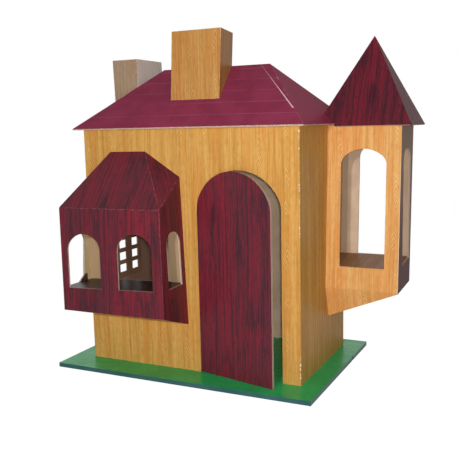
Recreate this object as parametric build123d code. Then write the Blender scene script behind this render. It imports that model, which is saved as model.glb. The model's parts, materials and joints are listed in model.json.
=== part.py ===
from build123d import *
import os
from math import atan2, cos, degrees, radians, sin, tan

# A toy castle made of folded and cut card: a house with a hipped roof, a bay window, a corner
# turret with a pyramid roof, two chimneys and an arched door that swings on its left edge.
# Millimetres. +Z is up, the door side faces -Y, and the turret is on the +X side.
# The origin is the centre of the baseboard's underside.

# Thickness of the boards and of the lighter card
base_board = 7.5
wall_board = 4.0
roof_card = 3.0
shell_card = 3.0
chimney_card = 2.0
lattice_card = 2.0

# Baseboard, and how far the middle of the house stands from its centre
base_length = 474.0
base_depth = 322.7
house_shift_x = 2.0
house_shift_y = 9.6
chip_length = 6.0
chip_depth = 2.0
chip_place = 66.0

# House walls, measured outside
house_length = 400.0
house_depth = 232.4

# Main roof: the eave's height above the baseboard, the overhangs, the rise, and where the ridge
# ends to the left and right of the middle
eave_height = 413.0
eave_front = 15.3
eave_side = 13.0
roof_rise = 102.4
ridge_left = 101.0
ridge_right = 105.5

# Doorway and door. The left jamb is measured from the middle of the front wall.
door_jamb = 20.0
doorway_width = 148.8
doorway_height = 342.8
doorway_rise = 62.0
doorway_shoulder = 40.0
door_gap = 0.5
door_ajar = 13.0

# Left wall window, with a lattice sheet glued behind it
lattice_middle_height = 170.4
lattice_width = 84.0
lattice_height = 83.0
lattice_lap = 6.0
pane_width = 22.0
pane_height = 15.0
pane_pitch_across = 41.6
pane_pitch_up = 23.0
pane_columns = 2
pane_rows = 3

# Bay window on the front wall. It is drawn upright and then leans to the left. Its heights are
# measured from its front left bottom corner. Its front panel hangs lower at the right end, and the
# card below it is twisted, because its side edges drop to the wall by different amounts. The
# uncut card is what the knife left standing at the rear jamb of the left window: how far it
# reaches in from the jamb, at heights above the sill.
bay_middle = -101.7
bay_bottom = 110.6
bay_lean = 2.0
bay_width = 197.6
bay_depth_bottom = 79.3
bay_depth_top = 71.2
bay_front_height = 175.1
bay_front_drop = 5.4
bay_hip_height_left = 211.8
bay_hip_height_right = 217.1
bay_ridge_height = 265.2
bay_ridge_length = 70.0
bay_keel_drop_left = 19.0
bay_keel_drop_right = 33.1
bay_sill = 38.8
bay_window_height = 92.0
bay_window_width = 66.0
bay_window_pitch = 100.0
bay_window_shift = -2.0
bay_window_rise = 28.0
bay_window_shoulder = 24.0
bay_side_window_width = 44.0
bay_side_window_setback = 34.5
bay_side_window_rise = 20.0
bay_side_window_shoulder = 16.0
bay_uncut_card = [(22.0, 0.0), (8.0, 10.0), (0.0, 72.0)]
bay_passage_width = 132.0
bay_passage_height = 102.0
bay_passage_shift = 3.0

# Turret on the right wall. Its front and back lean backwards, and below a level fold the front
# turns in towards the wall as a tapering skirt. Its floor rises from the front sill to the back
# one. Heights are above the baseboard.
turret_width = 124.0
turret_depth = 92.8
turret_front_at_eave = 23.4
turret_lean = 3.0
turret_fold_height = 134.0
turret_tip_height = 80.0
turret_tip_setback = 16.6
turret_outer_bottom = 131.6
turret_bottom_rise = 4.4
turret_sill = 172.0
turret_window_height = 198.5
turret_window_width = 76.5
turret_window_rise = 26.5
turret_window_shoulder = 20.0
turret_back_window_shift = 7.3
turret_floor_rise = 8.0
turret_side_window_width = 53.0
turret_side_window_shift = 4.0
turret_side_window_rise = 21.0
turret_side_window_shoulder = 17.0

# Turret roof, placed from the middle of the house
turret_eave_height = 408.5
turret_eave_left = 181.0
turret_eave_right = 341.0
turret_eave_front = 15.0
turret_eave_back = 129.0
turret_apex_height = 556.9
turret_apex_x = 266.0
turret_apex_y = 72.0
eave_gap = 0.3

# Chimneys: width along the front and depth along the sides, place of the front left corner where
# it meets the roof, height of the top above the baseboard, how far the sides are racked out of
# square, and lean to the right
front_chimney = dict(size=(92.2, 75.6), corner=(-46.5, -74.7), top=570.6, rack=10.4, lean=3.0)
left_chimney = dict(size=(52.0, 86.5), corner=(-186.1, -35.3), top=534.3, rack=0.0, lean=-1.7)

# How far a cutting shape or an untrimmed end runs past its place
beyond = 20.0
far = 1000.0

# Sizes worked out from those above. House places are measured from the middle of the house at
# the top of the baseboard, and each piece moves onto the baseboard at the end.
half_length = house_length / 2
half_depth = house_depth / 2
eave_x = half_length + eave_side
eave_y = half_depth + eave_front
ridge_height = eave_height + roof_rise
turret_outer = half_length + turret_width
on_the_base = Pos(house_shift_x, house_shift_y, base_board)


def outline_normal(corners):
    """Outward direction of a flat outline whose corners run anticlockwise seen from outside."""
    first, second, third = (Vector(corner) for corner in corners[:3])
    return (second - first).cross(third - second).normalized()


def outline_face(corners):
    """Flat face through the corners."""
    return Face(Wire.make_polygon([Vector(corner) for corner in corners], close=True))


def panel(corners, thickness):
    """One flat panel of a folded sheet: its outside outline, thickened inwards."""
    return extrude(outline_face(corners), amount=thickness, dir=-outline_normal(corners))


def folded_sheet(outlines, thickness):
    """Panels of one thickness that meet along their folds, as one sheet."""
    sheet = panel(outlines[0], thickness)
    for corners in outlines[1:]:
        sheet = sheet + panel(corners, thickness)
    return sheet


def hull(outlines):
    """Solid that the outlines enclose."""
    return Solid(Shell([outline_face(corners) for corners in outlines]))


def layer(corners, thickness):
    """Wide flat slab just inside the plane of an outline."""
    plane = Plane(origin=Vector(corners[0]), z_dir=outline_normal(corners))
    return plane * Box(far, far, thickness, align=(Align.CENTER, Align.CENTER, Align.MAX))


def room_below(level):
    """Everything below a level."""
    return Pos(0, 0, level) * Box(far, far, far, align=(Align.CENTER, Align.CENTER, Align.MAX))


def arched_outline(width, height, rise, shoulder):
    """Opening with straight jambs under a three-centred arch, from the middle of its sill up."""
    half = width / 2
    spring = height - rise
    crown = ((half - shoulder) ** 2 + rise**2 - shoulder**2) / (2 * (rise - shoulder))
    turn = atan2(crown - rise, half - shoulder)
    meet = (crown * cos(turn), height - crown + crown * sin(turn))
    bend = (half - shoulder + shoulder * cos(turn / 2), spring + shoulder * sin(turn / 2))
    return make_face(
        [
            Line((-half, 0), (half, 0)),
            Line((half, 0), (half, spring)),
            ThreePointArc((half, spring), bend, meet),
            ThreePointArc(meet, (0, height), (-meet[0], meet[1])),
            ThreePointArc((-meet[0], meet[1]), (-bend[0], bend[1]), (-half, spring)),
            Line((-half, spring), (-half, 0)),
        ]
    )


def upright_cutter(outline, facing, place, reach):
    """Cutter that runs straight through upright walls, with its outline's sill at a place."""
    x_dir = (1, 0, 0) if facing == "front" else (0, 1, 0)
    z_dir = (0, -1, 0) if facing == "front" else (1, 0, 0)
    return extrude(Plane(origin=place, x_dir=x_dir, z_dir=z_dir) * outline, amount=reach, both=True)


def make_baseboard():
    """Thick board that everything stands on, with a small chip out of its right edge."""
    board = Pos(0, 0, base_board / 2) * Box(base_length, base_depth, base_board)
    chip = make_face(
        Polyline(
            (base_length / 2 - chip_depth, chip_place),
            (base_length / 2 + 1, chip_place - chip_length / 2 - 1),
            (base_length / 2 + 1, chip_place + chip_length / 2 + 1),
            close=True,
        )
    )
    return board - extrude(chip, amount=base_board)


def main_roof_outlines():
    """The four slopes of the hipped roof."""
    foot = [(-eave_x, -eave_y), (eave_x, -eave_y), (eave_x, eave_y), (-eave_x, eave_y)]
    front_left, front_right, back_right, back_left = [(x, y, eave_height) for x, y in foot]
    left_end = (-ridge_left, 0, ridge_height)
    right_end = (ridge_right, 0, ridge_height)
    slopes = [
        [front_left, front_right, right_end, left_end],
        [front_right, back_right, right_end],
        [back_right, back_left, left_end, right_end],
        [back_left, front_left, left_end],
    ]
    return slopes, [back_left, back_right, front_right, front_left]


def make_main_roof():
    """Hipped roof folded from one sheet, cut square at the eaves."""
    slopes, _ = main_roof_outlines()
    return folded_sheet(slopes, roof_card)


def main_roof_hull():
    """Solid between the roof's outside and the level of its eave."""
    slopes, foot = main_roof_outlines()
    return hull(slopes + [foot])


def roof_surface(x, y):
    """Height of the main roof's outside above a place."""
    front_slope = roof_rise / eave_y
    side_slope = roof_rise / (eave_x - (ridge_left if x < 0 else ridge_right))
    return eave_height + min((eave_y - abs(y)) * front_slope, (eave_x - abs(x)) * side_slope)


def bay_place(piece):
    """Turn a piece of the upright bay by the bay's lean and set it on the front wall."""
    return Pos(bay_middle, -half_depth, bay_bottom) * Rot(0, -bay_lean, 0) * piece


def make_house_walls():
    """Four walls folded from one sheet, trimmed to the underside of the roof."""
    tall = ridge_height
    walls = Box(house_length, house_depth, tall)
    walls -= Box(house_length - 2 * wall_board, house_depth - 2 * wall_board, tall)
    attic = main_roof_hull() - make_main_roof()
    walls = (Pos(0, 0, tall / 2) * walls) & (attic + room_below(eave_height))

    doorway = arched_outline(doorway_width, doorway_height, doorway_rise, doorway_shoulder)
    place = (door_jamb + doorway_width / 2, -half_depth, 0)
    walls -= upright_cutter(doorway, "front", place, 2 * wall_board)

    passage = Box(bay_passage_width, 4 * wall_board, bay_passage_height)
    walls -= bay_place(Pos(bay_passage_shift, 0, bay_sill + bay_passage_height / 2) * passage)

    window = Box(4 * wall_board, lattice_width - 2 * lattice_lap, lattice_height - 2 * lattice_lap)
    return walls - Pos(-half_length, 0, lattice_middle_height) * window


def make_door():
    """Arched flap with a narrow gap to its doorway, standing ajar on its left edge."""
    leaf = arched_outline(
        doorway_width - 2 * door_gap,
        doorway_height - 2 * door_gap,
        doorway_rise - door_gap,
        doorway_shoulder - door_gap,
    )
    upright = Plane(origin=(doorway_width / 2, 0, door_gap), x_dir=(1, 0, 0), z_dir=(0, -1, 0))
    board = extrude(upright * leaf, amount=-wall_board)
    return Pos(door_jamb, -half_depth, 0) * Rot(0, 0, -door_ajar) * board


def make_lattice():
    """Thin sheet with rows of panes cut out, glued inside the left wall."""
    sheet = Box(lattice_card, lattice_width, lattice_height)
    for column in range(pane_columns):
        for row in range(pane_rows):
            across = (column - (pane_columns - 1) / 2) * pane_pitch_across
            up = (row - (pane_rows - 1) / 2) * pane_pitch_up
            sheet -= Pos(0, across, up) * Box(2 * lattice_card, pane_width, pane_height)
    return Pos(-half_length + wall_board + lattice_card / 2, 0, lattice_middle_height) * sheet


def make_chimney(size, corner, top, rack, lean):
    """Small folded box, racked and leaning, closed at the top and cut at the foot to sit on the roof."""
    width, depth = size
    back_x, back_y = -depth * sin(radians(rack)), depth * cos(radians(rack))
    plan = [(0, 0), (width, 0), (width + back_x, back_y), (back_x, back_y)]
    foot = roof_surface(*corner)

    def ring(height):
        shift = (height - foot) * tan(radians(lean))
        return [(corner[0] + shift + x, corner[1] + y, height) for x, y in plan]

    low, high = ring(foot - beyond), ring(top)
    walls = [[low[i], low[(i + 1) % 4], high[(i + 1) % 4], high[i]] for i in range(4)]
    sheet = folded_sheet(walls + [high], chimney_card) & hull(walls + [high, low[::-1]])
    return sheet - main_roof_hull()


def bay_outlines():
    """Card faces of the upright bay, then its open side and the two halves of its underside."""
    side = bay_width / 2
    ridge = bay_ridge_length / 2
    tilt = bay_front_drop / bay_width

    def tilted_pair(x, y, z):
        return (-x, y, z - tilt * (side - x)), (x, y, z - tilt * (side + x))

    front_left, front_right = tilted_pair(side, -bay_depth_bottom, 0)
    fold_left, fold_right = tilted_pair(side, -bay_depth_top, bay_front_height)
    ridge_left, ridge_right = tilted_pair(ridge, 0, bay_ridge_height)
    hip_left, hip_right = (-side, 0, bay_hip_height_left), (side, 0, bay_hip_height_right)
    keel_left, keel_right = (-side, 0, -bay_keel_drop_left), (side, 0, -bay_keel_drop_right)
    card_faces = [
        [front_left, front_right, fold_right, fold_left],
        [fold_left, fold_right, ridge_right, ridge_left],
        [front_right, keel_right, hip_right, fold_right],
        [fold_right, hip_right, ridge_right],
        [keel_left, front_left, fold_left, hip_left],
        [hip_left, fold_left, ridge_left],
    ]
    wall_side = [keel_right, keel_left, hip_left, ridge_left, ridge_right, hip_right]
    under_sides = [[front_left, keel_left, keel_right], [front_left, keel_right, front_right]]
    return card_faces, wall_side, under_sides


def make_bay():
    """Bay window: one folded sheet with its own roof, a floor at the sills and a sloped underside."""
    card_faces, wall_side, under_sides = bay_outlines()
    outside = hull(card_faces + [wall_side] + under_sides)
    sheet = folded_sheet(card_faces, shell_card) & outside
    under_layer = layer(under_sides[0], shell_card) + layer(under_sides[1], shell_card)
    inside = outside - sheet - under_layer
    floor = inside & (room_below(bay_sill) - room_below(bay_sill - shell_card))
    underside = (outside & under_layer) - sheet

    window = arched_outline(bay_window_width, bay_window_height, bay_window_rise, bay_window_shoulder)
    for side in (-1, 1):
        place = (bay_window_shift + side * bay_window_pitch / 2, -bay_depth_bottom, bay_sill)
        sheet -= upright_cutter(window, "front", place, beyond)
    window = arched_outline(
        bay_side_window_width, bay_window_height, bay_side_window_rise, bay_side_window_shoulder
    )
    jamb = bay_side_window_width / 2
    uncut_edge = [(jamb - reach, height) for reach, height in bay_uncut_card]
    left_window = window - make_face(Polyline((jamb, 0), *uncut_edge, close=True))
    for side, outline in ((-1, left_window), (1, window)):
        place = (side * bay_width / 2, -bay_side_window_setback, bay_sill)
        sheet -= upright_cutter(outline, "side", place, beyond)
    return bay_place(sheet), bay_place(floor), bay_place(underside)


def turret_front(height):
    """Place of the turret's front face at a height."""
    return turret_front_at_eave - (eave_height - height) * tan(radians(turret_lean))


def turret_back_corner(x, plane_height, plane_slope):
    """Corner where the leaning back face meets the sloped underside."""
    lean = tan(radians(turret_lean))
    back_at_zero = turret_front(0) + turret_depth
    height = (plane_height + plane_slope * back_at_zero) / (1 - plane_slope * lean)
    return (x, back_at_zero + lean * height, height)


def turret_outlines():
    """Card faces of the turret's body, then its three open sides."""
    wall, outer = half_length, turret_outer
    top = turret_apex_height
    fold = turret_fold_height
    skirt_slope = turret_tip_setback / (fold - turret_tip_height)
    tip_y = turret_front(fold) + turret_tip_setback
    outer_y = turret_front(fold) + skirt_slope * (fold - turret_outer_bottom)
    rise = turret_bottom_rise / turret_depth

    def at(x, height, back=0.0):
        return (x, turret_front(height) + back, height)

    tip = (wall, tip_y, turret_tip_height)
    outer_bottom = (outer, outer_y, turret_outer_bottom)
    back_wall = turret_back_corner(wall, turret_tip_height - rise * tip_y, rise)
    back_outer = turret_back_corner(outer, turret_outer_bottom - rise * outer_y, rise)
    back_top_wall, back_top_outer = at(wall, top, turret_depth), at(outer, top, turret_depth)
    card_faces = [
        [at(wall, fold), at(outer, fold), at(outer, top), at(wall, top)],
        [tip, outer_bottom, at(outer, fold), at(wall, fold)],
        [outer_bottom, back_outer, back_top_outer, at(outer, top), at(outer, fold)],
        [back_outer, back_wall, back_top_wall, back_top_outer],
    ]
    wall_side = [back_wall, tip, at(wall, fold), at(wall, top), back_top_wall]
    top_side = [at(wall, top), at(outer, top), back_top_outer, back_top_wall]
    under_side = [tip, back_wall, back_outer, outer_bottom]
    return card_faces, wall_side, top_side, under_side


def turret_roof_outlines(stretch=1.0):
    """The four slopes of the pyramid roof and its open foot, stretched down from the apex."""
    apex = Vector(turret_apex_x, turret_apex_y, turret_apex_height)
    left, right = turret_eave_left, turret_eave_right
    front, back = turret_eave_front, turret_eave_back
    plan = [(left, front), (right, front), (right, back), (left, back)]
    eaves = [Vector(x, y, turret_eave_height) for x, y in plan]
    foot = [apex + (eave - apex) * stretch for eave in eaves]
    slopes = [[foot[i], foot[(i + 1) % 4], apex] for i in range(4)]
    return slopes, foot[::-1]


def make_turret():
    """Turret: a folded wall sheet, a floor at the sills, a sloped underside and a pyramid roof."""
    slopes, foot = turret_roof_outlines()
    long_slopes, low_foot = turret_roof_outlines(stretch=1.2)
    roof = folded_sheet(slopes, roof_card) & hull(long_slopes + [low_foot])
    loft = hull(slopes + [foot]) - roof

    card_faces, wall_side, top_side, under_side = turret_outlines()
    outside = hull(card_faces + [wall_side, top_side, under_side])
    sheet = folded_sheet(card_faces, shell_card)
    under_layer = layer(under_side, shell_card)
    inside = outside - sheet - under_layer
    floor_turn = Rot(degrees(atan2(turret_floor_rise, turret_depth)), 0, 0)
    below_floor = Pos(0, turret_front(turret_sill), turret_sill) * floor_turn * room_below(0)
    floor = inside & (below_floor - Pos(0, 0, -shell_card) * below_floor)
    sheet = sheet & outside
    underside = (outside & under_layer) - sheet
    sheet = sheet & (loft + room_below(turret_eave_height))

    eave_low = eave_height - roof_card
    eave_edge = eave_x + eave_gap
    under_eave = Box(eave_edge - half_length, far, far, align=(Align.MIN, Align.CENTER, Align.MIN))
    sheet -= Pos(half_length, 0, eave_low) * under_eave

    window = arched_outline(
        turret_window_width, turret_window_height, turret_window_rise, turret_window_shoulder
    )
    middle = half_length + turret_width / 2
    sheet -= upright_cutter(window, "front", (middle, turret_front(turret_sill), turret_sill), beyond)
    back_sill = turret_sill + turret_floor_rise
    place = (middle + turret_back_window_shift, turret_front(back_sill) + turret_depth, back_sill)
    sheet -= upright_cutter(window, "front", place, beyond)
    window = arched_outline(
        turret_side_window_width,
        turret_window_height,
        turret_side_window_rise,
        turret_side_window_shoulder,
    )
    middle = turret_front(turret_sill + turret_window_height / 2) + turret_depth / 2
    place = (turret_outer, middle + turret_side_window_shift, turret_sill)
    sheet -= upright_cutter(window, "side", place, 2 * shell_card) - below_floor

    beside_eave = Box(eave_edge, far, far, align=(Align.MIN, Align.CENTER, Align.MAX))
    roof = roof - main_roof_hull() - Pos(0, 0, eave_height) * beside_eave
    return sheet, floor, underside, roof


def make_pieces():
    """Every separate piece by name, in its place on the baseboard."""
    bay_window, bay_floor, bay_underside = make_bay()
    turret_walls, turret_floor, turret_underside, turret_roof = make_turret()
    house_pieces = {
        "house_walls": make_house_walls(),
        "door": make_door(),
        "lattice_window": make_lattice(),
        "main_roof": make_main_roof(),
        "front_chimney": make_chimney(**front_chimney),
        "left_chimney": make_chimney(**left_chimney),
        "bay_window": bay_window,
        "bay_floor": bay_floor,
        "bay_underside": bay_underside,
        "turret_walls": turret_walls,
        "turret_floor": turret_floor,
        "turret_underside": turret_underside,
        "turret_roof": turret_roof,
    }
    pieces = {"baseboard": make_baseboard()}
    for name, piece in house_pieces.items():
        pieces[name] = on_the_base * piece
    return pieces


os.makedirs("parts", exist_ok=True)
for name, piece in make_pieces().items():
    export_step(piece, f"parts/{name}.step")
    print(name, "volume", round(piece.volume), "solids", len(piece.solids()), "valid", piece.is_valid)
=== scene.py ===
# %% [markdown]
# # A castle folded from card
# The real castle is cut from corrugated board, covered with printed foil and folded into walls,
# roofs, a bay and a turret. The frame holds every sheet at its real size. We load it first.

import json
import math

import bmesh
import bpy
from mathutils import Matrix, Vector
from mathutils.bvhtree import BVHTree

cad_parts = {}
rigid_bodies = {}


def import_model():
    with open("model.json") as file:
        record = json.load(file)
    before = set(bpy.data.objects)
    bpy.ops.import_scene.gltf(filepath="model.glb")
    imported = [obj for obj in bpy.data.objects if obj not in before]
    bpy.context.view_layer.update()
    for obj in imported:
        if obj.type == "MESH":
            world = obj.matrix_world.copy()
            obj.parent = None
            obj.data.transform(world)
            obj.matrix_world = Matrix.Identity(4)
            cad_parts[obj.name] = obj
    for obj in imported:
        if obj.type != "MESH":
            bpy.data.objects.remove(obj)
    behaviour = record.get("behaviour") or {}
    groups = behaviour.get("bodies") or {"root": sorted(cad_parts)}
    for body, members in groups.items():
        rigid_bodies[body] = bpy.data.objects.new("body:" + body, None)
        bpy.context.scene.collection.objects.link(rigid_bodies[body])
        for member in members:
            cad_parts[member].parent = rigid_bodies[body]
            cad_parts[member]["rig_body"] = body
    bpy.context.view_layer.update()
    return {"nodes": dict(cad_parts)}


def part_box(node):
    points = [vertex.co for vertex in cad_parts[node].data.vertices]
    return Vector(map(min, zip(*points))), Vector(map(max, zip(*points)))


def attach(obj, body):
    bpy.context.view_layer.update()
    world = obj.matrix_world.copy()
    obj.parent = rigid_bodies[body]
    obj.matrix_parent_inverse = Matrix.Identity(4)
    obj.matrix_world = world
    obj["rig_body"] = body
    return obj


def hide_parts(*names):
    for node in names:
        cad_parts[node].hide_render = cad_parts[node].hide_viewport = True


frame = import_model()
nodes = frame["nodes"]
print("sheets in the frame:", len(nodes))

# %% [markdown]
# ## How a sheet of card looks
# A folded sheet has four kinds of surface: foil outside, bare card inside, raw edges where it was
# cut, and creases where it was folded. They could be painted by hand, face by face, but every
# sheet here obeys one rule. Looking straight into a face, the other side is one card away. Where
# it is much further away, the face is a cut edge. So we let a ray measure each face, and the side
# that points away from the middle of the hollow is the outside.

# %% Kinds of surface
OUTSIDE, INSIDE, CUT, CREASE = range(4)
START_DEPTH = 0.00005


def kind_at(tree, point, normal, card, hollow):
    """Kind of surface at one point, from how far away the other side is."""
    hit, _, _, distance = tree.ray_cast(point - normal * START_DEPTH, -normal)
    if hit is None or distance > 1.5 * card:
        return CUT
    return OUTSIDE if normal.dot(point - hollow) > 0 else INSIDE


# %% [markdown]
# The imported mesh is made of triangles. We weld them and join the ones that lie in one plane, so
# that each panel of card is one face. Two sheets hold a triangle without height, which would leave
# a slit, so such triangles go first. A panel with windows has an odd outline, and its middle may
# lie in a window. Its small triangles vote instead, each with its area.


# %% Sort the panels
SLIVER_HEIGHT = 0.00002


def close_slivers(sheet):
    """Take out triangles with no height and join the edges on both sides of them."""
    thin = []
    for face in sheet.faces:
        longest = max(edge.calc_length() for edge in face.edges)
        if 2 * face.calc_area() < SLIVER_HEIGHT * longest:
            thin.append(face)
    bmesh.ops.delete(sheet, geom=thin, context="FACES")
    corners = {corner for edge in sheet.edges if not edge.is_manifold for corner in edge.verts}
    for corner in corners:
        for edge in [edge for edge in sheet.edges if edge.is_boundary and corner not in edge.verts]:
            start, end = (point.co for point in edge.verts)
            share = (corner.co - start).dot(end - start) / (end - start).length_squared
            if 0 < share < 1 and (start.lerp(end, share) - corner.co).length < SLIVER_HEIGHT:
                bmesh.utils.edge_split(edge, edge.verts[0], share)
    bmesh.ops.remove_doubles(sheet, verts=sheet.verts, dist=SLIVER_HEIGHT)


def flat_panels(mesh):
    """The sheet with its triangles joined into flat panels."""
    sheet = bmesh.new()
    sheet.from_mesh(mesh)
    bmesh.ops.remove_doubles(sheet, verts=sheet.verts, dist=0.00001)
    close_slivers(sheet)
    bmesh.ops.dissolve_limit(
        sheet,
        angle_limit=math.radians(0.2),
        verts=sheet.verts,
        edges=sheet.edges,
        use_dissolve_boundaries=False,
    )
    sheet.normal_update()
    return sheet


def sort_panels(sheet, card, hollow):
    """Give each panel the number of its kind as its material number."""
    sheet.faces.index_update()
    tree = BVHTree.FromBMesh(sheet)
    votes = [[0.0, 0.0, 0.0] for _ in sheet.faces]
    for loops in sheet.calc_loop_triangles():
        face = loops[0].face
        a, b, c = (loop.vert.co for loop in loops)
        area = (b - a).cross(c - a).length / 2
        kind = kind_at(tree, (a + b + c) / 3, face.normal, card, hollow)
        votes[face.index][kind] += area
    for face, vote in zip(sheet.faces, votes):
        face.material_index = vote.index(max(vote))


# %% [markdown]
# Card can't fold to a sharp corner: the foil stretches round a bend about as wide as the card is
# thick, and rubs pale there. A bevel of each fold makes that bend. Blender can bevel with a
# modifier, but a direct bevel also marks the new narrow faces as creases, for a worn finish.

# %% Round the folds
FOLD_ROUND = 0.0009
FOLD_STEPS = 3
LEAST_FOLD = math.radians(4)


def round_folds(sheet):
    """Bevel every fold on the outside of the sheet."""
    folds = []
    for edge in sheet.edges:
        faces = edge.link_faces
        if len(faces) != 2 or any(face.material_index != OUTSIDE for face in faces):
            continue
        if edge.is_convex and edge.calc_face_angle() > LEAST_FOLD:
            folds.append(edge)
    made = bmesh.ops.bevel(
        sheet,
        geom=folds,
        offset=FOLD_ROUND,
        offset_type="OFFSET",
        segments=FOLD_STEPS,
        profile=0.5,
        affect="EDGES",
        clamp_overlap=True,
        material=CREASE,
    )
    for face in made["faces"]:
        face.smooth = True
    return len(folds)


# %% [markdown]
# The grain of the foil and the flutes of the board both run up each panel. A box projection would
# let the grain slide sideways on sloping panels, so we lay out the map ourselves, in metres:
# across and up along each panel's own plane. On a cut edge the map holds the place across the
# panel and the depth below the foil, so that the flutes show up at their real spacing.


# %% Map the grain
def panel_axes(normal):
    """Directions across and up a panel."""
    up = Vector((0, 0, 1)) if abs(normal.z) < 0.97 else Vector((0, 1, 0))
    up = (up - normal * up.dot(normal)).normalized()
    return up.cross(normal), up


def map_sheet(sheet):
    """Lay out every panel of the sheet in metres."""
    uv = sheet.loops.layers.uv.new("grain")
    for face in sheet.faces:
        skin = face
        if face.material_index == CUT:
            beside = [near for edge in face.edges for near in edge.link_faces]
            skins = [near for near in beside if near.material_index == OUTSIDE]
            skins += [near for near in beside if near.material_index == INSIDE]
            skin = skins[0] if skins else face
        across, up = panel_axes(skin.normal)
        slide = 0.31 * round(skin.normal.x * 3) + 0.17 * round(skin.normal.y * 3)
        for loop in face.loops:
            place = loop.vert.co
            depth = abs((place - skin.verts[0].co).dot(skin.normal))
            height = depth if face.material_index == CUT else place.dot(up)
            loop[uv].uv = (place.dot(across) + slide, height)


# %% [markdown]
# ## Making a piece
# Every sheet goes through the same steps, and then takes the place of its plain copy in the
# frame. It rides on the same body, so that the door still swings.


# %% Turn a sheet of the frame into a finished piece
def finish_sheet(node, card, hollow, finishes, right_side=None, trim=None):
    """A detailed copy of one sheet, with a finish for each kind of surface."""
    sheet = flat_panels(nodes[node].data)
    if trim:
        trim(sheet)
    sort_panels(sheet, card, Vector(hollow))
    folds = round_folds(sheet)
    map_sheet(sheet)
    open_edges = sum(not edge.is_manifold for edge in sheet.edges)
    mesh = bpy.data.meshes.new(node + "_card")
    sheet.to_mesh(mesh)
    sheet.free()
    for finish in finishes:
        mesh.materials.append(finish)
    if right_side:
        mesh.materials.append(right_side)
        for face in mesh.polygons:
            if face.material_index == OUTSIDE and face.normal.x > 0.9:
                face.material_index = len(finishes)
    piece = bpy.data.objects.new(node + "_card", mesh)
    bpy.context.scene.collection.objects.link(piece)
    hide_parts(node)
    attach(piece, nodes[node]["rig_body"])
    print(node, "faces", len(mesh.polygons), "folds", folds, "open edges", open_edges)
    return piece


# %% [markdown]
# ## Finishes
# All finishes are built from nodes. The foil has a printed wood grain under a smooth plastic
# film, so its colour varies but its gloss is even. Some small helpers keep the node code short.


# %% Node helpers
def node_in(tree, kind, inputs=None, **settings):
    """A new node with its settings and inputs; an input may be a value or another node's output."""
    made = tree.nodes.new(kind)
    for name, value in settings.items():
        setattr(made, name, value)
    for name, value in (inputs or {}).items():
        if isinstance(value, bpy.types.NodeSocket):
            tree.links.new(value, made.inputs[name])
        else:
            made.inputs[name].default_value = value
    return made


def maths(tree, operation, *values, clamp=False):
    """Output of one sum."""
    inputs = dict(enumerate(values))
    return node_in(tree, "ShaderNodeMath", inputs, operation=operation, use_clamp=clamp).outputs[0]


def blend(tree, amount, first, second):
    """Output of a mix of two colours."""
    inputs = {"Factor": amount, 6: first, 7: second}
    made = node_in(tree, "ShaderNodeMix", inputs, data_type="RGBA")
    return made.outputs[2]


def step(tree, value, low, high):
    """Smooth rise from 0 to 1 between two levels."""
    inputs = {"Value": value, "From Min": low, "From Max": high}
    made = node_in(tree, "ShaderNodeMapRange", inputs, interpolation_type="SMOOTHSTEP")
    return made.outputs["Result"]


def layer(tree, colour, noise, low, high, strength, tone):
    """Lay a tone over a colour where a noise lies above a level."""
    mask = maths(tree, "MULTIPLY", step(tree, noise, low, high), strength)
    return blend(tree, mask, colour, tone)


def grain_map(tree):
    """Places across and up the panel, in metres."""
    uv = node_in(tree, "ShaderNodeUVMap", uv_map="grain").outputs["UV"]
    parts = node_in(tree, "ShaderNodeSeparateXYZ", {"Vector": uv})
    return parts.outputs["X"], parts.outputs["Y"]


def streaks(tree, across, up, per_metre_across, per_metre_up, detail=2.0, seed=0.0):
    """Noise drawn out along the grain."""
    wide = maths(tree, "MULTIPLY", across, per_metre_across)
    tall = maths(tree, "MULTIPLY_ADD", up, per_metre_up, seed)
    place = node_in(tree, "ShaderNodeCombineXYZ", {"X": wide, "Y": tall}).outputs[0]
    inputs = {"Vector": place, "Scale": 1.0, "Detail": detail, "Roughness": 0.55}
    return node_in(tree, "ShaderNodeTexNoise", inputs, noise_dimensions="2D").outputs["Fac"]


def place_on_castle(tree):
    """Place of a point in the castle's own frame, as one vector and as x, y and z."""
    place = node_in(tree, "ShaderNodeTexCoord").outputs["Object"]
    parts = node_in(tree, "ShaderNodeSeparateXYZ", {"Vector": place}).outputs
    return place, parts["X"], parts["Y"], parts["Z"]


def vector_maths(tree, operation, first, second, result="Value"):
    """Output of one sum of vectors."""
    inputs = {0: first, 1: second}
    return node_in(tree, "ShaderNodeVectorMath", inputs, operation=operation).outputs[result]


def within(tree, value, low, high, soft=0.0005):
    """1 between two levels and 0 outside them, with soft ends."""
    rise = step(tree, value, low - soft, low + soft)
    fall = step(tree, value, high + soft, high - soft)
    return maths(tree, "MULTIPLY", rise, fall)


def new_finish(name):
    """An empty material with one Principled shader, and its node tree."""
    material = bpy.data.materials.new(name)
    material.use_nodes = True
    tree = material.node_tree
    return material, tree, tree.nodes["Principled BSDF"]


def off_line(tree, start, end):
    """Distance from a line between two places on the castle, and the share of its length."""
    along = Vector(end) - Vector(start)
    place = place_on_castle(tree)[0]
    from_start = vector_maths(tree, "SUBTRACT", place, start, "Vector")
    share = vector_maths(tree, "DOT_PRODUCT", from_start, along / along.length_squared)
    share = maths(tree, "ADD", share, 0.0, clamp=True)
    nearest = vector_maths(tree, "MULTIPLY", along, share, "Vector")
    aside = vector_maths(tree, "SUBTRACT", from_start, nearest, "Vector")
    return vector_maths(tree, "LENGTH", aside, (0, 0, 0)), share


def specks(tree, per_metre, least, full):
    """Irregular specks all over the castle."""
    place = place_on_castle(tree)[0]
    inputs = {"Vector": place, "Scale": per_metre, "Detail": 3.0, "Roughness": 0.6}
    noise = node_in(tree, "ShaderNodeTexNoise", inputs).outputs["Fac"]
    return step(tree, noise, least, full)


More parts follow.
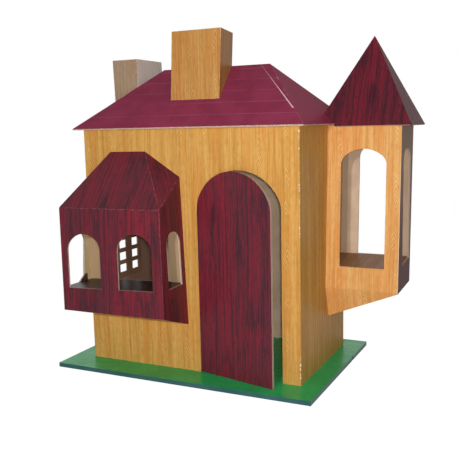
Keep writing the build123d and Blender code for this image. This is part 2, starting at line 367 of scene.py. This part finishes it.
def lay_over(material, mask, tone):
    """Blend a tone over a finish where a mask is strong."""
    tree = material.node_tree
    socket = tree.nodes["Principled BSDF"].inputs["Base Color"]
    under = socket.links[0].from_socket
    tree.links.new(blend(tree, mask, under, tone), socket)


# %% [markdown]
# The board under the foil has flutes about 8 mm apart that show through as faint ridges, and glue
# leaves shallow dimples. Both are bumps, too low to model. The same bump goes under the oak and
# mahogany foils, and under the bare card inside.

# %% Board relief
FLUTE_PITCH = 0.008


def board_relief(tree, across, up, flute_depth, dimple_depth):
    """Normal of a board whose flutes and dimples show through."""
    wave = maths(tree, "SINE", maths(tree, "MULTIPLY", across, 2 * math.pi / FLUTE_PITCH))
    flutes = maths(tree, "MULTIPLY", wave, flute_depth)
    dimples = maths(tree, "MULTIPLY", streaks(tree, across, up, 60, 22, seed=3.0), dimple_depth)
    height = maths(tree, "ADD", flutes, dimples)
    inputs = {"Height": height, "Distance": 1.0, "Strength": 1.0}
    return node_in(tree, "ShaderNodeBump", inputs).outputs["Normal"]


# %% [markdown]
# ### Oak foil
# The print imitates oak: fine darker pores, soft bands, and columns of small V figures where the
# growth rings close. A plain wave texture gives stripes without the V figures. We fold the place
# across each column about its middle, and lean the rings by that distance, which makes a stack of
# V lines. Noise hides most of them, because the real print shows them only here and there.

# %% Oak grain
COLUMN = 0.046
COLUMN_HALF = 0.005
RING_PITCH = 0.0085
RING_LEAN = 2.6


def v_figures(tree, across, up, seed):
    """Stack of peaked lines in columns: how strongly one is drawn at a place."""
    wobble = streaks(tree, across, up, 9, 14, seed=seed)
    shifted = maths(tree, "MULTIPLY_ADD", wobble, 0.016, across)
    aside = maths(tree, "PINGPONG", shifted, COLUMN / 2)
    ring = maths(tree, "MULTIPLY_ADD", aside, RING_LEAN, up)
    rough = maths(tree, "MULTIPLY_ADD", streaks(tree, across, up, 120, 60, seed=seed), 0.010, ring)
    wave = maths(tree, "SINE", maths(tree, "MULTIPLY", rough, 2 * math.pi / RING_PITCH))
    near = step(tree, aside, COLUMN_HALF, COLUMN_HALF * 0.4)
    patch = step(tree, streaks(tree, across, up, 24, 20, seed=seed + 5), 0.44, 0.56)
    shown = maths(tree, "MULTIPLY", near, patch)
    return maths(tree, "MULTIPLY", step(tree, wave, 0.2, 0.9), shown)


def oak_foil(name, pale, middle, dark, gloss=0.42, wear=0.0):
    """Printed oak foil; wear turns it into a rubbed crease."""
    material, tree, shader = new_finish(name)
    across, up = grain_map(tree)
    bands = streaks(tree, across, up, 105, 2.2, detail=3.0, seed=1.0)
    colour = blend(tree, step(tree, bands, 0.38, 0.62), middle, pale)
    warm = streaks(tree, across, up, 38, 4.0, detail=2.0, seed=15.0)
    orange = (middle[0] * 1.06, middle[1] * 0.86, middle[2] * 0.8, 1)
    colour = layer(tree, colour, warm, 0.42, 0.68, 0.65, orange)
    lines = streaks(tree, across, up, 330, 7.0, detail=3.0, seed=7.0)
    colour = layer(tree, colour, lines, 0.46, 0.7, 0.5, dark)
    light_lines = streaks(tree, across, up, 300, 9.0, detail=3.0, seed=27.0)
    colour = layer(tree, colour, light_lines, 0.5, 0.7, 0.65, pale)
    mottle = streaks(tree, across, up, 210, 90.0, detail=4.0, seed=33.0)
    colour = layer(tree, colour, mottle, 0.45, 0.72, 0.3, dark)
    pores = streaks(tree, across, up, 900, 40.0, detail=2.0, seed=11.0)
    colour = layer(tree, colour, pores, 0.54, 0.75, 0.35, dark)
    fleck = (min(pale[0] * 1.12, 1), min(pale[1] * 1.28, 1), min(pale[2] * 1.5, 1), 1)
    light_v = v_figures(tree, across, up, seed=2.0)
    colour = blend(tree, maths(tree, "MULTIPLY", light_v, 0.75), colour, fleck)
    dark_v = v_figures(tree, across, maths(tree, "ADD", up, RING_PITCH / 2), seed=2.0)
    colour = blend(tree, maths(tree, "MULTIPLY", dark_v, 0.5), colour, dark)
    if wear:
        rubs = streaks(tree, across, up, 300, 90, seed=4.0)
        rubbed = step(tree, rubs, 0.62 - wear / 3, 0.7 - wear / 3)
        colour = blend(tree, maths(tree, "MULTIPLY", rubbed, 0.8), colour, (0.83, 0.66, 0.47, 1))
    tree.links.new(colour, shader.inputs["Base Color"])
    tree.links.new(board_relief(tree, across, up, 0.000012, 0.00025), shader.inputs["Normal"])
    shader.inputs["Roughness"].default_value = gloss
    shader.inputs["Specular IOR Level"].default_value = 0.05
    return material


wall_tones = ((0.64, 0.36, 0.098, 1), (0.545, 0.277, 0.063, 1), (0.39, 0.175, 0.039, 1))
oak = oak_foil("oak_foil", *wall_tones)
turret_tones = ((0.74, 0.42, 0.150, 1), (0.66, 0.315, 0.092, 1), (0.50, 0.21, 0.055, 1))
turret_oak = oak_foil("turret_oak_foil", *turret_tones)
turret_crease = oak_foil("turret_oak_crease", *turret_tones)
TURRET_FOLD = ((0.326, 0.0184, 0.1415), (0.326, 0.0358, 0.4175))
turret_tree = turret_crease.node_tree
turret_fold, _ = off_line(turret_tree, *TURRET_FOLD)
lay_over(turret_crease, step(turret_tree, turret_fold, 0.0030, 0.0015), (0.78, 0.56, 0.38, 1))
chimney_tones = ((0.56, 0.31, 0.096, 1), (0.48, 0.235, 0.063, 1), (0.345, 0.15, 0.040, 1))
chimney_oak = oak_foil("chimney_oak_foil", *chimney_tones)
chimney_crease = oak_foil("chimney_oak_crease", *chimney_tones, wear=0.15)
faded_tones = ((0.42, 0.30, 0.20, 1), (0.36, 0.25, 0.16, 1), (0.27, 0.18, 0.11, 1))
faded_oak = oak_foil("faded_oak_foil", *faded_tones, gloss=0.55)
faded_crease = oak_foil("faded_oak_crease", *faded_tones, gloss=0.55, wear=0.4)
side_tones = ((0.74, 0.65, 0.57, 1), (0.68, 0.59, 0.51, 1), (0.58, 0.48, 0.40, 1))
faded_side = oak_foil("faded_side", *side_tones, gloss=0.5)
# Painted shade: a darker copy of the oak for the turret's floor, which lies in shade inside the
# turret.
floor_shade_tones = ((0.42, 0.22, 0.105, 1), (0.33, 0.16, 0.070, 1), (0.22, 0.095, 0.040, 1))
floor_oak_painted_shade = oak_foil("floor_oak_painted_shade", *floor_shade_tones, gloss=0.4)
print("oak finishes made")

# %% [markdown]
# The house's own foil has a history. It was not laid under the bay, where the wall is bare card,
# and it is rubbed through to white specks along the front right corner, at its top and its foot.
# These marks stay in one place on the castle, so they are drawn from places in its frame.

# %% House foil
BARE_CARD = (0.43, 0.288, 0.168, 1)
UNDER_BAY_X, UNDER_BAY_Z = (-0.1950, -0.0045), (0.120, 0.262)
BAY_LEAN, BAY_FOOT = 0.035, 0.118
FRONT_CORNER = (0.202, -0.1066)
WORN_PARTS = ((0.245, 0.418, 0.56), (0.018, 0.058, 0.53), (0.058, 0.245, 0.66))


def house_foil(name):
    """Oak foil with bare card under the bay and a rubbed front right corner."""
    material = oak_foil(name, *wall_tones)
    tree = material.node_tree
    _, x, y, z = place_on_castle(tree)
    leaning = maths(tree, "MULTIPLY_ADD", maths(tree, "SUBTRACT", z, BAY_FOOT), BAY_LEAN, x)
    across, upward = within(tree, leaning, *UNDER_BAY_X), within(tree, z, *UNDER_BAY_Z)
    under = maths(tree, "MULTIPLY", across, upward)
    front = step(tree, y, -0.1050, -0.1062)
    lay_over(material, maths(tree, "MULTIPLY", under, front), BARE_CARD)
    for low, high, least in WORN_PARTS:
        distance, _ = off_line(tree, (*FRONT_CORNER, low), (*FRONT_CORNER, high))
        near = step(tree, distance, 0.0022, 0.0010)
        rubbed = maths(tree, "MULTIPLY", near, specks(tree, 260, least, least + 0.06))
        lay_over(material, rubbed, (0.84, 0.74, 0.62, 1))
    return material


house_oak = house_foil("house_oak_foil")
print("house foil made")

# %% [markdown]
# ### Mahogany foil
# This print is much darker, and its pores are long broken streaks between wine red and almost
# black. It is built like the oak, with stronger dark lines, and with dark patches drawn out along
# the grain.


# %% Mahogany grain
MAHOGANY = ((0.100, 0.019, 0.029, 1), (0.215, 0.015, 0.029, 1), (0.030, 0.014, 0.020, 1))


def mahogany_foil(name, tones=MAHOGANY, gloss=0.42, shine=0.12, wear=0.0):
    """Printed mahogany foil; wear turns it into a rubbed crease."""
    material, tree, shader = new_finish(name)
    across, up = grain_map(tree)
    wine, red, black = tones
    drift = streaks(tree, across, up, 13, 1.5, detail=2.0, seed=30.0)
    colour = layer(tree, wine, drift, 0.42, 0.66, 0.45, red)
    bands = streaks(tree, across, up, 110, 2.5, detail=3.0, seed=31.0)
    colour = layer(tree, colour, bands, 0.42, 0.66, 0.5, red)
    lines = streaks(tree, across, up, 260, 6.0, detail=4.0, seed=37.0)
    colour = layer(tree, colour, lines, 0.46, 0.66, 0.65, black)
    patches = streaks(tree, across, up, 60, 12.0, detail=4.0, seed=41.0)
    colour = layer(tree, colour, patches, 0.50, 0.72, 0.6, black)
    mottle = streaks(tree, across, up, 170, 90.0, detail=3.0, seed=45.0)
    colour = layer(tree, colour, mottle, 0.48, 0.7, 0.3, black)
    glints = streaks(tree, across, up, 420, 28.0, detail=2.0, seed=43.0)
    colour = layer(tree, colour, glints, 0.54, 0.74, 0.65, red)
    figures = v_figures(tree, across, up, seed=6.0)
    flame = (red[0] * 1.25, red[1] * 1.6, red[2] * 1.5, 1)
    colour = blend(tree, maths(tree, "MULTIPLY", figures, 0.4), colour, flame)
    if wear:
        rubs = streaks(tree, across, up, 200, 200, seed=4.0)
        rubbed = step(tree, rubs, 0.62 - wear / 3, 0.72 - wear / 3)
        colour = blend(tree, maths(tree, "MULTIPLY", rubbed, 0.7), colour, (0.26, 0.10, 0.12, 1))
    tree.links.new(colour, shader.inputs["Base Color"])
    tree.links.new(board_relief(tree, across, up, 0.000012, 0.00025), shader.inputs["Normal"])
    shader.inputs["Roughness"].default_value = gloss
    shader.inputs["Specular IOR Level"].default_value = shine
    return material


mahogany = mahogany_foil("mahogany_foil")
mahogany_crease = mahogany_foil("mahogany_foil_crease", wear=0.3)
spire_mahogany = mahogany_foil("spire_mahogany_foil", shine=0.03)
# Painted shade: a much darker copy of the mahogany for the bay's floor, which lies in shade inside
# the bay.
SHADED_MAHOGANY = ((0.040, 0.014, 0.016, 1), (0.060, 0.014, 0.016, 1), (0.022, 0.010, 0.012, 1))
mahogany_painted_shade = mahogany_foil("mahogany_painted_shade_foil", SHADED_MAHOGANY, gloss=0.36, shine=0.2)
print("mahogany finishes made")

# %% [markdown]
# The turret's outer panel has a dark red mahogany foil. Towards the top it is painted grey-brown,
# as a painted reflection of the bright room on the foil seen edge-on. Mixing the mahogany with
# brown by height gives that change.


# %% Mahogany side of the turret, with a painted reflection
def mahogany_side_painted_glare():
    """Dark red foil at the foot, painted grey-brown towards the top as a painted reflection."""
    tones = ((0.10, 0.030, 0.024, 1), (0.13, 0.030, 0.024, 1), (0.06, 0.020, 0.016, 1))
    material = mahogany_foil("turret_side_foil", tones, shine=0.02)
    tree = material.node_tree
    height = place_on_castle(tree)[3]
    # Painted reflection: the upper part of this side is painted grey-brown.
    brown = maths(tree, "MULTIPLY", step(tree, height, 0.16, 0.38), 0.85)
    lay_over(material, brown, (0.31, 0.19, 0.12, 1))
    return material


turret_side = mahogany_side_painted_glare()
print("walnut side made")

# %% [markdown]
# ### Roof paper
# The main roof has plain crimson paper with faint level lines, like courses of slates, pressed with
# a dull point. A pressed line shines pale on one side, so each line is both a paler stroke and a
# groove. The right slope is painted lighter, as painted light on that slope, and near it the paper
# of one slope laps the front with a pale edge. Both are drawn from places on the castle, as on the
# house.

# %% Crimson roof paper
COURSE, COURSE_SHIFT = 0.0315, 0.007


def roof_paper(name, wear=0.0):
    """Crimson paper with pressed course lines; wear turns it into a rubbed crease."""
    material, tree, shader = new_finish(name)
    across, up = grain_map(tree)
    cloud = streaks(tree, across, up, 26, 26, detail=4.0, seed=51.0)
    dull, bright = (0.25, 0.031, 0.070, 1), (0.30, 0.040, 0.088, 1)
    colour = blend(tree, step(tree, cloud, 0.3, 0.7), dull, bright)
    sway = maths(tree, "MULTIPLY_ADD", streaks(tree, across, up, 3, 3, seed=52.0), 0.006, up)
    sway = maths(tree, "SUBTRACT", sway, COURSE_SHIFT)
    place = maths(tree, "PINGPONG", sway, COURSE / 2)
    line = step(tree, place, 0.0014, 0.0003)
    broken = step(tree, streaks(tree, across, up, 14, 60, seed=53.0), 0.3, 0.6)
    drawn = maths(tree, "MULTIPLY", line, broken)
    colour = blend(tree, maths(tree, "MULTIPLY", drawn, 0.4), colour, (0.36, 0.13, 0.19, 1))
    if wear:
        rubs = streaks(tree, across, up, 60, 60, seed=4.0)
        rubbed = step(tree, rubs, 0.6 - wear / 3, 0.7 - wear / 3)
        colour = blend(tree, maths(tree, "MULTIPLY", rubbed, 0.9), colour, (0.72, 0.50, 0.50, 1))
    tree.links.new(colour, shader.inputs["Base Color"])
    fibres = maths(tree, "MULTIPLY", streaks(tree, across, up, 700, 700, seed=54.0), 0.00006)
    height = maths(tree, "SUBTRACT", fibres, maths(tree, "MULTIPLY", drawn, 0.0003))
    bump = node_in(tree, "ShaderNodeBump", {"Height": height, "Distance": 1.0, "Strength": 1.0})
    tree.links.new(bump.outputs["Normal"], shader.inputs["Normal"])
    shader.inputs["Roughness"].default_value = 0.55
    shader.inputs["Specular IOR Level"].default_value = 0.04
    return material


LAP_TOP, LAP_LOW = (0.0905, 0.0096, 0.5229), (0.1854, -0.0890, 0.4461)
RIDGE_END, RIDGE_Y, HIP_RUN, HIP_DEPTH = 0.1075, 0.0096, 0.774, 0.633


def main_roof_paper(name, wear=0.0):
    """Roof paper with a right slope painted lighter as painted light, and the pale edge of the
    paper that laps the front.
    """
    material = roof_paper(name, wear)
    tree = material.node_tree
    _, x, y, _ = place_on_castle(tree)
    beyond_ridge = maths(tree, "MULTIPLY", maths(tree, "SUBTRACT", x, RIDGE_END), HIP_RUN)
    from_middle = maths(tree, "ABSOLUTE", maths(tree, "SUBTRACT", y, RIDGE_Y))
    side = maths(tree, "SUBTRACT", beyond_ridge, maths(tree, "MULTIPLY", from_middle, HIP_DEPTH))
    # Painted light: the right slope gets a lighter crimson than the front.
    painted_light_slope = maths(tree, "MULTIPLY", step(tree, side, -0.001, 0.001), 0.9)
    lay_over(material, painted_light_slope, (0.39, 0.044, 0.098, 1))
    distance, share = off_line(tree, LAP_TOP, LAP_LOW)
    width = maths(tree, "MULTIPLY_ADD", share, 0.0007, 0.0005)
    line = step(tree, maths(tree, "DIVIDE", distance, width), 1.0, 0.5)
    strength = maths(tree, "MULTIPLY_ADD", step(tree, share, 0.15, 0.8), 0.6, 0.3)
    lay_over(material, maths(tree, "MULTIPLY", line, strength), (0.85, 0.66, 0.66, 1))
    return material


crimson = main_roof_paper("crimson_roof_paper")
crimson_crease = main_roof_paper("crimson_roof_crease", wear=0.05)
print("roof finishes made")

# %% [markdown]
# ### Green foil
# The baseboard has a plain glossy green foil. What makes it real is its uneven surface: broad
# shallow waves bend the reflections, and fine scratches dull them.


# %% Green foil
def green_foil(name, tones, gloss):
    """Plain green foil with soft waves and dull patches."""
    material, tree, shader = new_finish(name)
    across, up = grain_map(tree)
    cloud = streaks(tree, across, up, 14, 14, detail=4.0, seed=61.0)
    colour = blend(tree, step(tree, cloud, 0.3, 0.7), *tones)
    tree.links.new(colour, shader.inputs["Base Color"])
    waves = maths(tree, "MULTIPLY", streaks(tree, across, up, 11, 25, seed=62.0), 0.0012)
    bump = node_in(tree, "ShaderNodeBump", {"Height": waves, "Distance": 1.0, "Strength": 1.0})
    tree.links.new(bump.outputs["Normal"], shader.inputs["Normal"])
    dull = streaks(tree, across, up, 40, 90, detail=4.0, seed=63.0)
    levels = {"Value": dull, "To Min": gloss, "To Max": gloss + 0.25}
    rough = node_in(tree, "ShaderNodeMapRange", levels)
    tree.links.new(rough.outputs["Result"], shader.inputs["Roughness"])
    shader.inputs["Specular IOR Level"].default_value = 0.3
    return material


green = green_foil("green_foil", ((0.008, 0.36, 0.090, 1), (0.016, 0.44, 0.110, 1)), 0.2)
# The baseboard's wrapped edge is dark blue-green: partly the foil's own colour there, partly
# painted shade on the green.
wrapped_edge_painted_shade = green_foil("wrapped_edge_painted_shade", ((0.012, 0.075, 0.075, 1), (0.03, 0.10, 0.10, 1)), 0.4)
print("green finishes made")

# %% [markdown]
# ### Bare card
# Inside, the board is bare brown card with short fibres and the soft ridges of its flutes. A cut
# edge shows two thin liners with the wavy flute between them, and the hollows beside the flute are
# painted dark as painted shade. The map of a cut edge holds the place across the panel and the
# depth, so one wave draws the flute. Three sheets have darker places inside: painted shade on the
# inside of the left wall, a near-black corner in the bay's left window, and a painted shade strip
# in the turret's corner against the house.


# %% Bare card and cut edges
def bare_card(name, pale, dark):
    """Brown card with fibres."""
    material, tree, shader = new_finish(name)
    across, up = grain_map(tree)
    cloud = streaks(tree, across, up, 30, 24, detail=5.0, seed=71.0)
    colour = blend(tree, step(tree, cloud, 0.3, 0.7), dark, pale)
    fibres = streaks(tree, across, up, 900, 300, seed=72.0)
    colour = layer(tree, colour, fibres, 0.6, 0.75, 0.35, dark)
    tree.links.new(colour, shader.inputs["Base Color"])
    tree.links.new(board_relief(tree, across, up, 0.00005, 0.0003), shader.inputs["Normal"])
    shader.inputs["Roughness"].default_value = 0.75
    return material


def cut_edge(name, board, flute_rows=1):
    """Cut edge of corrugated board: liners, flutes, and gaps painted dark as painted shade."""
    material, tree, shader = new_finish(name)
    across, depth = grain_map(tree)
    row = board / flute_rows
    from_liner = maths(tree, "PINGPONG", depth, row / 2)
    liner = step(tree, from_liner, 0.00055, 0.0004)
    wave = maths(tree, "SINE", maths(tree, "MULTIPLY", across, 2 * math.pi / FLUTE_PITCH))
    swing = maths(tree, "MULTIPLY", wave, row / 2 - 0.0005)
    from_middle = maths(tree, "SUBTRACT", maths(tree, "MODULO", depth, row), row / 2)
    off_flute = maths(tree, "ABSOLUTE", maths(tree, "SUBTRACT", from_middle, swing))
    flute = step(tree, off_flute, 0.0006, 0.0003)
    card = maths(tree, "MAXIMUM", liner, flute)
    fibre = streaks(tree, across, depth, 900, 900, seed=81.0)
    bright = blend(tree, fibre, (0.60, 0.43, 0.34, 1), (0.74, 0.56, 0.45, 1))
    # Painted shade: the hollows between the liners and the flute take a dark brown.
    colour = blend(tree, card, (0.32, 0.20, 0.14, 1), bright)
    tree.links.new(colour, shader.inputs["Base Color"])
    relief = maths(tree, "MULTIPLY", card, 0.0004)
    bump = node_in(tree, "ShaderNodeBump", {"Height": relief, "Distance": 1.0, "Strength": 0.6})
    tree.links.new(bump.outputs["Normal"], shader.inputs["Normal"])
    shader.inputs["Roughness"].default_value = 0.8
    return material


PALE_CARD, DULL_CARD = (0.66, 0.48, 0.33, 1), (0.56, 0.39, 0.26, 1)
LEFT_WALL_FROM, LEFT_WALL_FULL = -0.185, -0.188
brown_card = bare_card("bare_card", PALE_CARD, DULL_CARD)
house_card = bare_card("house_card", PALE_CARD, DULL_CARD)
house_tree = house_card.node_tree
# Painted shade: the inside of the left wall is darkened, as it lies in shade.
left_wall_painted_shade = step(house_tree, place_on_castle(house_tree)[1], LEFT_WALL_FROM, LEFT_WALL_FULL)
lay_over(house_card, left_wall_painted_shade, (0.36, 0.19, 0.13, 1))
lattice_card = bare_card("lattice_card", (0.30, 0.155, 0.09, 1), (0.22, 0.11, 0.065, 1))
bay_card = bare_card("bay_card", (0.62, 0.49, 0.27, 1), (0.53, 0.41, 0.22, 1))
turret_card = bare_card("turret_card", PALE_CARD, DULL_CARD)


def mark_box(material, x_range, y_range, z_range, tone, strength=1.0):
    """Tone over the part of a finish that lies in one box of the castle's frame."""
    tree = material.node_tree
    _, x, y, z = place_on_castle(tree)
    mask = maths(tree, "MULTIPLY", within(tree, x, *x_range), within(tree, y, *y_range))
    mask = maths(tree, "MULTIPLY", mask, within(tree, z, *z_range))
    lay_over(material, maths(tree, "MULTIPLY", mask, strength), tone)


# A near-black patch in a corner of the bay's left window.
DARK_WINDOW_CORNER = ((-0.21, -0.19), (-0.1420, -0.1180), (0.148, 0.1655))
# Painted shade: a darker strip on the turret's back panel, in its corner against the house's right
# wall.
TURRET_SHADE_STRIP = ((0.20, 0.2125), (0.06, 0.13), (0.08, 0.42))
mark_box(bay_card, *DARK_WINDOW_CORNER, (0.055, 0.018, 0.022, 1))
mark_box(turret_card, *TURRET_SHADE_STRIP, (0.36, 0.25, 0.16, 1), 0.8)
wall_edge = cut_edge("wall_edge", 0.004)
card_edge = cut_edge("card_edge", 0.003)
print("card finishes made")

# %% [markdown]
# ## The pieces
# Now each sheet gets its board thickness, a point in the middle of its hollow, and its finishes
# in the order outside, inside, cut edge, crease. The baseboard's foil is wrapped round its edges,
# and the bay's and turret's floors and undersides end against other sheets, so none of these shows
# a bare cut edge.

# %% Finish every sheet
WALL, CARD, THIN, BASE = 0.004, 0.003, 0.002, 0.0075
house_set = (house_oak, house_card, wall_edge, house_oak)
underside_set = (oak, brown_card, oak, oak)
turret_set = (turret_oak, turret_card, card_edge, turret_crease)
floor_set = (floor_oak_painted_shade, brown_card, floor_oak_painted_shade, floor_oak_painted_shade)
chimney_set = (chimney_oak, brown_card, card_edge, chimney_crease)
spire_set = (spire_mahogany, brown_card, card_edge, spire_mahogany)
dark_set = (mahogany_painted_shade, brown_card, mahogany_painted_shade, mahogany_painted_shade)
faded_set = (faded_oak, brown_card, card_edge, faded_crease)
crimson_set = (crimson, brown_card, card_edge, crimson_crease)


def middle_of(node, lift=0.0):
    """Middle of a sheet's box, raised or lowered."""
    low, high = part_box(node)
    return (Vector(low) + Vector(high)) / 2 + Vector((0, 0, lift))


def back_of(node, side):
    """Middle of the side of a sheet's box that leans on the house."""
    low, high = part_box(node)
    middle = middle_of(node)
    if side == "+Y":
        middle.y = high[1]
    else:
        middle.x = low[0]
    return middle


# %% [markdown]
# Two knife marks of the bay are finer than its frame. On the left panel the knife went on almost
# to the fold, so its window reaches further forward than the right one. And the top of the left
# panel's rear edge laps a few millimetres round the corner of the house. Moving the corners of
# the frame's own panels is enough for both, and keeps the sheet closed.

# %% Trim the bay
LEFT_PANEL_X = -0.1955
JAMB_MIDDLE, JAMB_REACH = -0.1411, 0.0220
CORNER_LAP = 0.005


def trim_bay(sheet):
    """Cut the left window forward to the fold and lap the rear edge round the house."""
    for corner in sheet.verts:
        x, y, z = corner.co
        if x > LEFT_PANEL_X:
            continue
        if y > -0.110 and z > 0.3:
            corner.co.y += CORNER_LAP
        if -0.166 < y < JAMB_MIDDLE - 0.0001 and 0.15 < z < 0.25:
            forward = 0.0160 - (z - 0.1535) * 0.046
            corner.co.y -= forward * (JAMB_MIDDLE - y) / JAMB_REACH


below, above = Vector((0, 0, -1)), Vector((0, 0, 1))
bay_set = (mahogany, bay_card, card_edge, mahogany_crease)
finish_sheet("baseboard", BASE, middle_of("baseboard") + below, (green, green, wrapped_edge_painted_shade, green))
finish_sheet("house_walls", WALL, middle_of("house_walls"), house_set)
finish_sheet("door", WALL, middle_of("door") + Vector((0, 1, 0)),
             (mahogany, brown_card, wall_edge, mahogany_crease))
finish_sheet("lattice_window", THIN, middle_of("lattice_window"), (lattice_card,) * 4)
finish_sheet("main_roof", CARD, middle_of("main_roof", lift=-0.06), crimson_set)
finish_sheet("front_chimney", THIN, middle_of("front_chimney"), chimney_set)
finish_sheet("left_chimney", THIN, middle_of("left_chimney"), faded_set,
             right_side=faded_side)
finish_sheet("bay_window", CARD, back_of("bay_window", "+Y"), bay_set,
             trim=trim_bay)
finish_sheet("bay_floor", CARD, middle_of("bay_floor") + below, dark_set)
finish_sheet("bay_underside", CARD, middle_of("bay_underside") + above, underside_set)
finish_sheet("turret_walls", CARD, back_of("turret_walls", "-X"), turret_set,
             right_side=turret_side)
finish_sheet("turret_floor", CARD, middle_of("turret_floor") + below, floor_set)
finish_sheet("turret_underside", CARD, middle_of("turret_underside") + above, underside_set)
finish_sheet("turret_roof", CARD, middle_of("turret_roof", lift=-0.05), spire_set)

# %% [markdown]
# ## Floor, light and camera
# The walls that face right are in half shade, the bay throws a thin shadow on the wall below it,
# and yet the rooms behind the openings are bright. So the picture had three lights: one in front
# and above, a flash beside the camera, and the room's own light, mostly from above. A sun would
# light both ends of the front equally, but there the far end is darker, so both lamps are near.
# The backdrop is white for the camera and for reflections, and the castle's light stays plain.


# %% Floor
FLOOR_REACH, FLOOR_DROP = 40.0, 0.0002
FLOOR_GREY, FLOOR_WHITE, WHITE_SHARE = 0.50, 1.08, 0.92


def make_floor():
    """Pale floor just under the baseboard, nearly white to the camera, with the castle's shadow."""
    mesh = bpy.data.meshes.new("floor")
    signs = ((-1, -1), (1, -1), (1, 1), (-1, 1))
    corners = [(x * FLOOR_REACH, y * FLOOR_REACH, -FLOOR_DROP) for x, y in signs]
    mesh.from_pydata(corners, [], [(0, 1, 2, 3)])
    floor = bpy.data.objects.new("floor", mesh)
    bpy.context.scene.collection.objects.link(floor)
    material, tree, shader = new_finish("pale_floor")
    shader.inputs["Base Color"].default_value = (FLOOR_GREY, FLOOR_GREY, FLOOR_GREY, 1)
    shader.inputs["Roughness"].default_value = 1.0
    shader.inputs["Specular IOR Level"].default_value = 0.0
    white = node_in(tree, "ShaderNodeEmission", {"Color": (1, 1, 1, 1), "Strength": FLOOR_WHITE})
    ray = node_in(tree, "ShaderNodeLightPath")
    seen = maths(tree, "MAXIMUM", ray.outputs["Is Camera Ray"], ray.outputs["Is Glossy Ray"])
    share = maths(tree, "MULTIPLY", seen, WHITE_SHARE)
    inputs = {0: share, 1: shader.outputs[0], 2: white.outputs[0]}
    mixed = node_in(tree, "ShaderNodeMixShader", inputs)
    tree.links.new(mixed.outputs[0], tree.nodes["Material Output"].inputs["Surface"])
    mesh.materials.append(material)


make_floor()
print("floor reaches", FLOOR_REACH, "m")

# %% World and lamps
FROM_BELOW, FROM_ABOVE = 0.04, 0.21
BACKDROP = 1.0
WINDOW_WATTS, WINDOW_PLACE = 26.0, Vector((0.343, -1.375, 0.552))
FLASH_WATTS, FLASH_PLACE = 29.0, Vector((0.584, -1.125, 0.430))
LAMP_SIZE = 0.02


def make_world():
    """Fill light that is stronger from above, with an even backdrop."""
    world = bpy.data.worlds.new("studio")
    world.use_nodes = True
    bpy.context.scene.world = world
    tree = world.node_tree
    ray = node_in(tree, "ShaderNodeLightPath")
    seen = maths(tree, "MAXIMUM", ray.outputs["Is Camera Ray"], ray.outputs["Is Glossy Ray"])
    seen = maths(tree, "MAXIMUM", seen, ray.outputs["Is Transmission Ray"])
    direction = node_in(tree, "ShaderNodeTexCoord").outputs["Generated"]
    height = node_in(tree, "ShaderNodeSeparateXYZ", {"Vector": direction}).outputs["Z"]
    levels = {"Value": height, "From Min": -1.0, "To Min": FROM_BELOW, "To Max": FROM_ABOVE}
    fill = node_in(tree, "ShaderNodeMapRange", levels).outputs["Result"]
    backdrop = maths(tree, "MULTIPLY", seen, BACKDROP)
    others = maths(tree, "MULTIPLY", maths(tree, "SUBTRACT", 1.0, seen), fill)
    background = tree.nodes["Background"]
    background.inputs["Color"].default_value = (1, 1, 1, 1)
    tree.links.new(maths(tree, "ADD", backdrop, others), background.inputs["Strength"])


def make_lamp(name, watts, place):
    """Small lamp that shines all round."""
    light = bpy.data.lights.new(name, "POINT")
    light.energy = watts
    light.shadow_soft_size = LAMP_SIZE
    lamp = bpy.data.objects.new(name, light)
    lamp.location = place
    bpy.context.scene.collection.objects.link(lamp)


make_world()
make_lamp("window", WINDOW_WATTS, WINDOW_PLACE)
make_lamp("flash", FLASH_WATTS, FLASH_PLACE)
bpy.context.scene.view_settings.view_transform = "Standard"
print("lamps", WINDOW_WATTS, FLASH_WATTS, "W, fill", FROM_BELOW, "to", FROM_ABOVE)

# %% [markdown]
# The camera's place and turn were worked out from the straight edges of the house: the house's
# corners, the eaves and the baseboard all fall where they do in the picture.

# %% Camera
CAMERA_PLACE = Vector((0.57532, -1.12964, 0.42242))
CAMERA_YAW, CAMERA_PITCH, CAMERA_ROLL = 0.4515, 0.1514, 0.022
FOCAL_PIXELS, LONG_SIDE = 710.7, 466


def make_camera():
    """Camera at the picture's own viewpoint."""
    yaw, pitch, roll = CAMERA_YAW, CAMERA_PITCH, CAMERA_ROLL
    level = math.cos(pitch)
    ahead = Vector((-math.sin(yaw) * level, math.cos(yaw) * level, -math.sin(pitch)))
    right = Vector((math.cos(yaw), math.sin(yaw), 0))
    down = ahead.cross(right)
    rolled_right = math.cos(roll) * right + math.sin(roll) * down
    rolled_down = math.cos(roll) * down - math.sin(roll) * right
    turn = Matrix((rolled_right, -rolled_down, -ahead)).transposed()
    camera = bpy.data.objects.new("camera", bpy.data.cameras.new("camera"))
    camera.data.sensor_width = 36.0
    camera.data.lens = FOCAL_PIXELS * camera.data.sensor_width / LONG_SIDE
    camera.matrix_world = Matrix.Translation(CAMERA_PLACE) @ turn.to_4x4()
    bpy.context.scene.collection.objects.link(camera)
    bpy.context.scene.camera = camera


make_camera()
print("camera lens", round(bpy.context.scene.camera.data.lens, 1), "mm")
